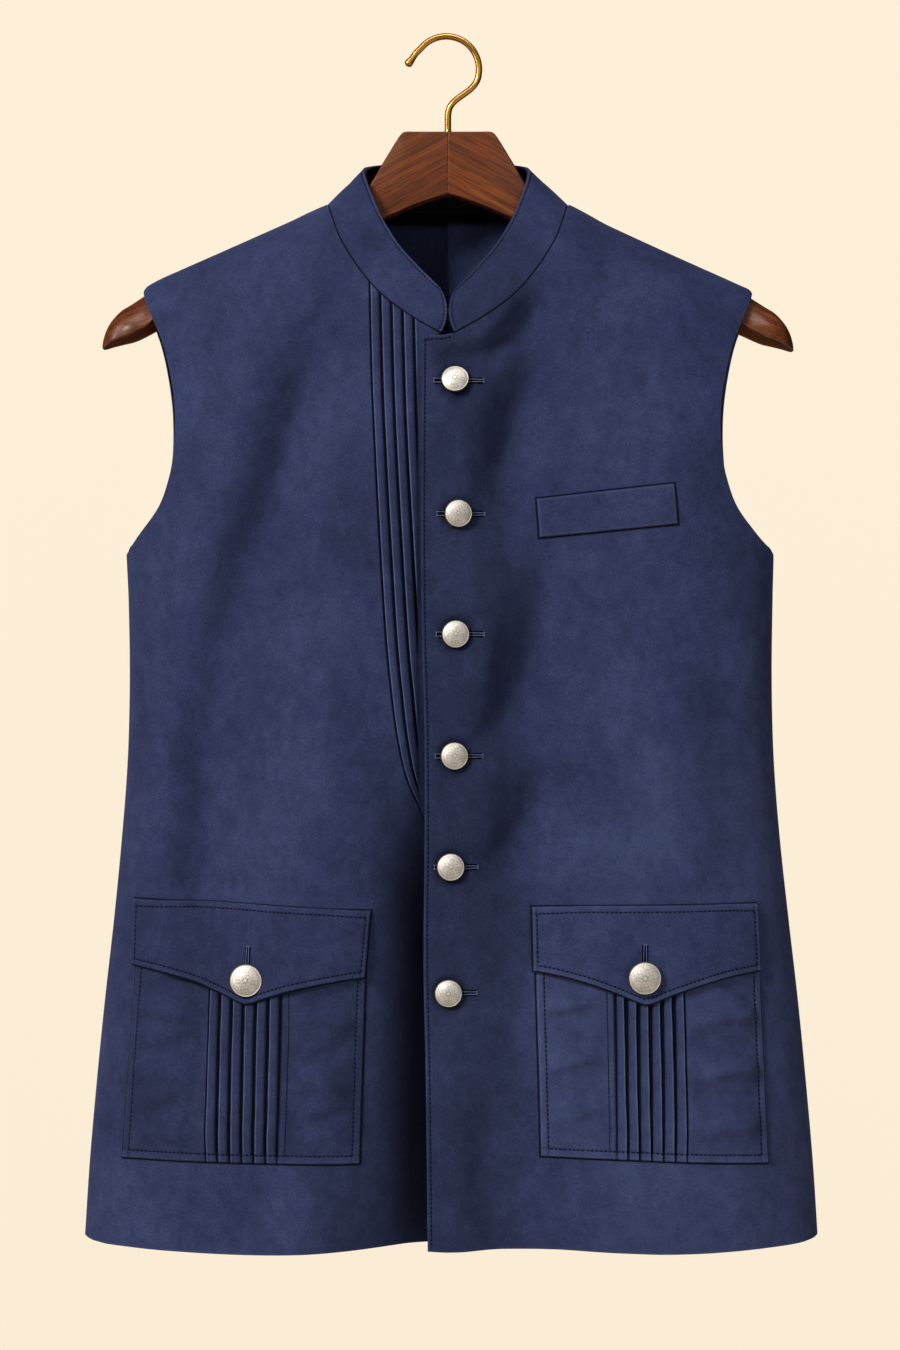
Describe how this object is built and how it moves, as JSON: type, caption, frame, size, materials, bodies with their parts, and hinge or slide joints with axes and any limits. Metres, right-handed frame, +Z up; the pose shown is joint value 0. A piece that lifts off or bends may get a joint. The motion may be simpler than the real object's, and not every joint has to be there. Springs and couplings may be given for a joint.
{
  "type": "nehru jacket on a wooden hanger",
  "caption": "Sleeveless stand-collar jacket with tucked front panels, flap pockets and a chest welt, buttoned up and hanging on a contoured wooden hanger with a brass hook.",
  "frame": {"origin": "underside of the hook's crown, where a rail or peg carries it", "axes": "+Z up, the jacket's front faces -Y, +X towards the wearer's left"},
  "size_m": [0.4979, 0.1548, 0.8209],
  "materials": {
    "cloth": "navy brushed cotton twill, matt",
    "button_metal": "antique silver, etched",
    "hanger_wood": "walnut, satin lacquer",
    "hook_brass": "polished"
  },
  "bodies": {
    "root": {"front_right": "cloth", "front_left": "cloth", "tuck_insert": "cloth", "back_right": "cloth", "back_left": "cloth", "collar": "cloth", "chest_welt": "cloth", "pocket_right": "cloth", "pocket_left": "cloth", "flap_right": "cloth", "flap_left": "cloth", "front_button_1": "button_metal", "front_button_2": "button_metal", "front_button_3": "button_metal", "front_button_4": "button_metal", "front_button_5": "button_metal", "front_button_6": "button_metal", "pocket_button_right": "button_metal", "pocket_button_left": "button_metal", "hanger_arm_right": "hanger_wood", "hanger_arm_left": "hanger_wood", "hook": "hook_brass"}
  },
  "joints": []
}
